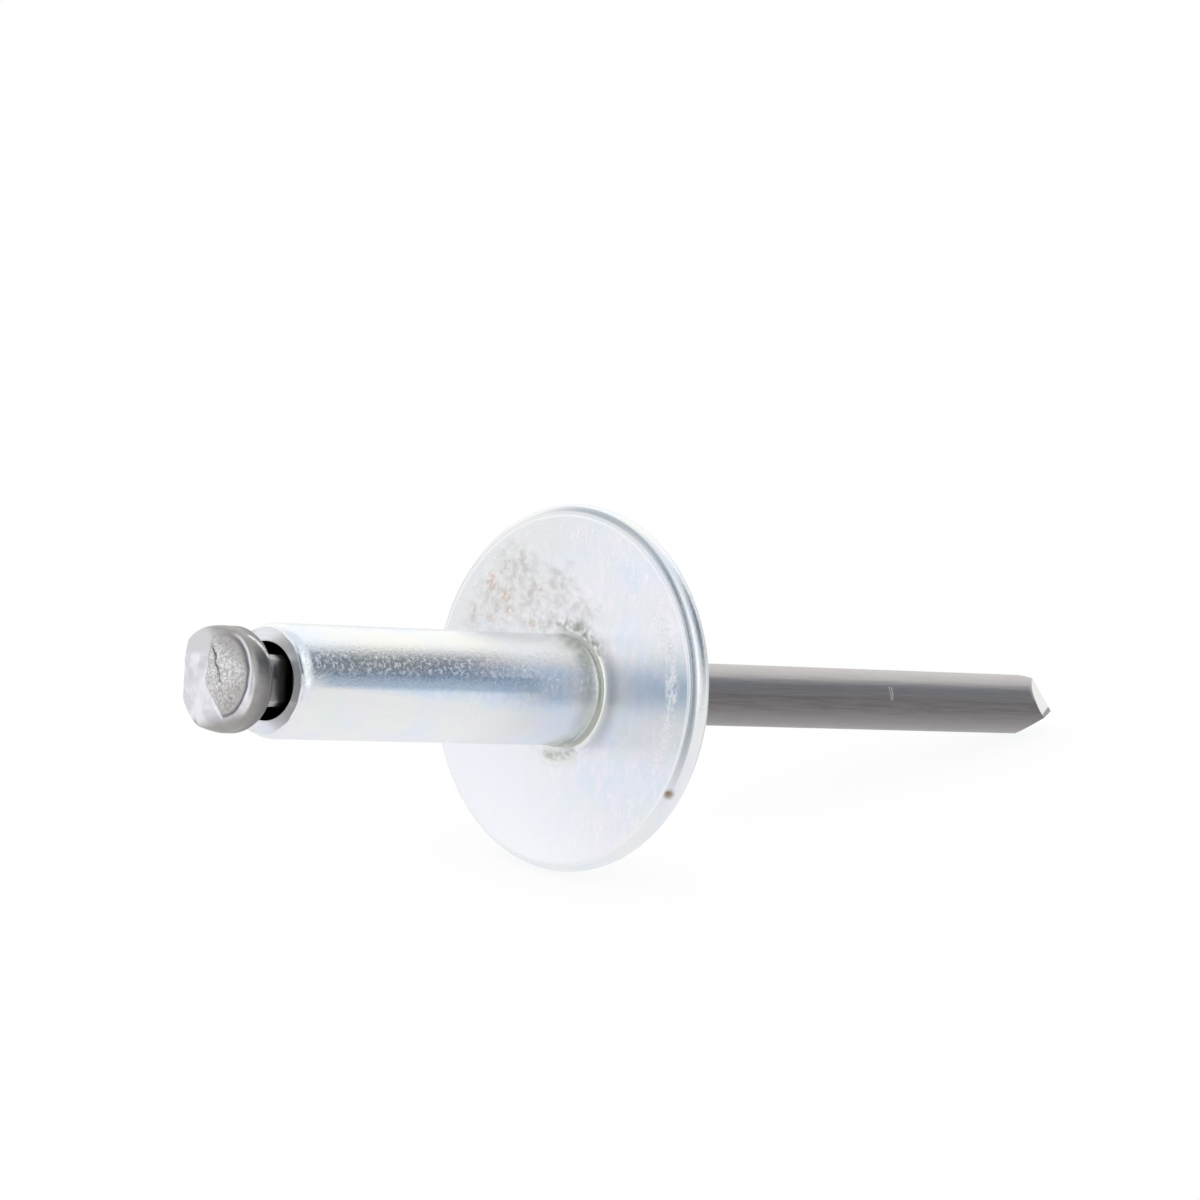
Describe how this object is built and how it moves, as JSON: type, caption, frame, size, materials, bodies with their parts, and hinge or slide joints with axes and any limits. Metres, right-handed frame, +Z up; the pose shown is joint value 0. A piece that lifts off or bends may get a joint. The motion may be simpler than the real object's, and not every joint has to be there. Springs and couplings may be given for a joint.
{
  "type": "large-flange blind rivet",
  "caption": "Unset blind rivet: a hollow steel shank with a wide flat flange, and a headed steel mandrel through its bore with a pinched break neck and a cut point.",
  "frame": {"origin": "on the surface that the rivet lies on, below the middle of its bounding box", "axes": "+Z up; the rivet's axis lies in the XZ plane, with the mandrel's point towards +X and lower, as it rests on the rim of its flange and on its point"},
  "size_m": [0.0524, 0.0158, 0.0156],
  "materials": {
    "zinc_plated_steel": "bright zinc plate with a faint blue and pink tint, finely pitted, with one dull crystalline patch on the flange",
    "mandrel_steel": "plain drawn steel wire, dark grey and oily on the stem, lighter on the upset head with a rough end"
  },
  "bodies": {
    "root": {"rivet_body": "zinc_plated_steel", "mandrel": "mandrel_steel"}
  },
  "joints": []
}
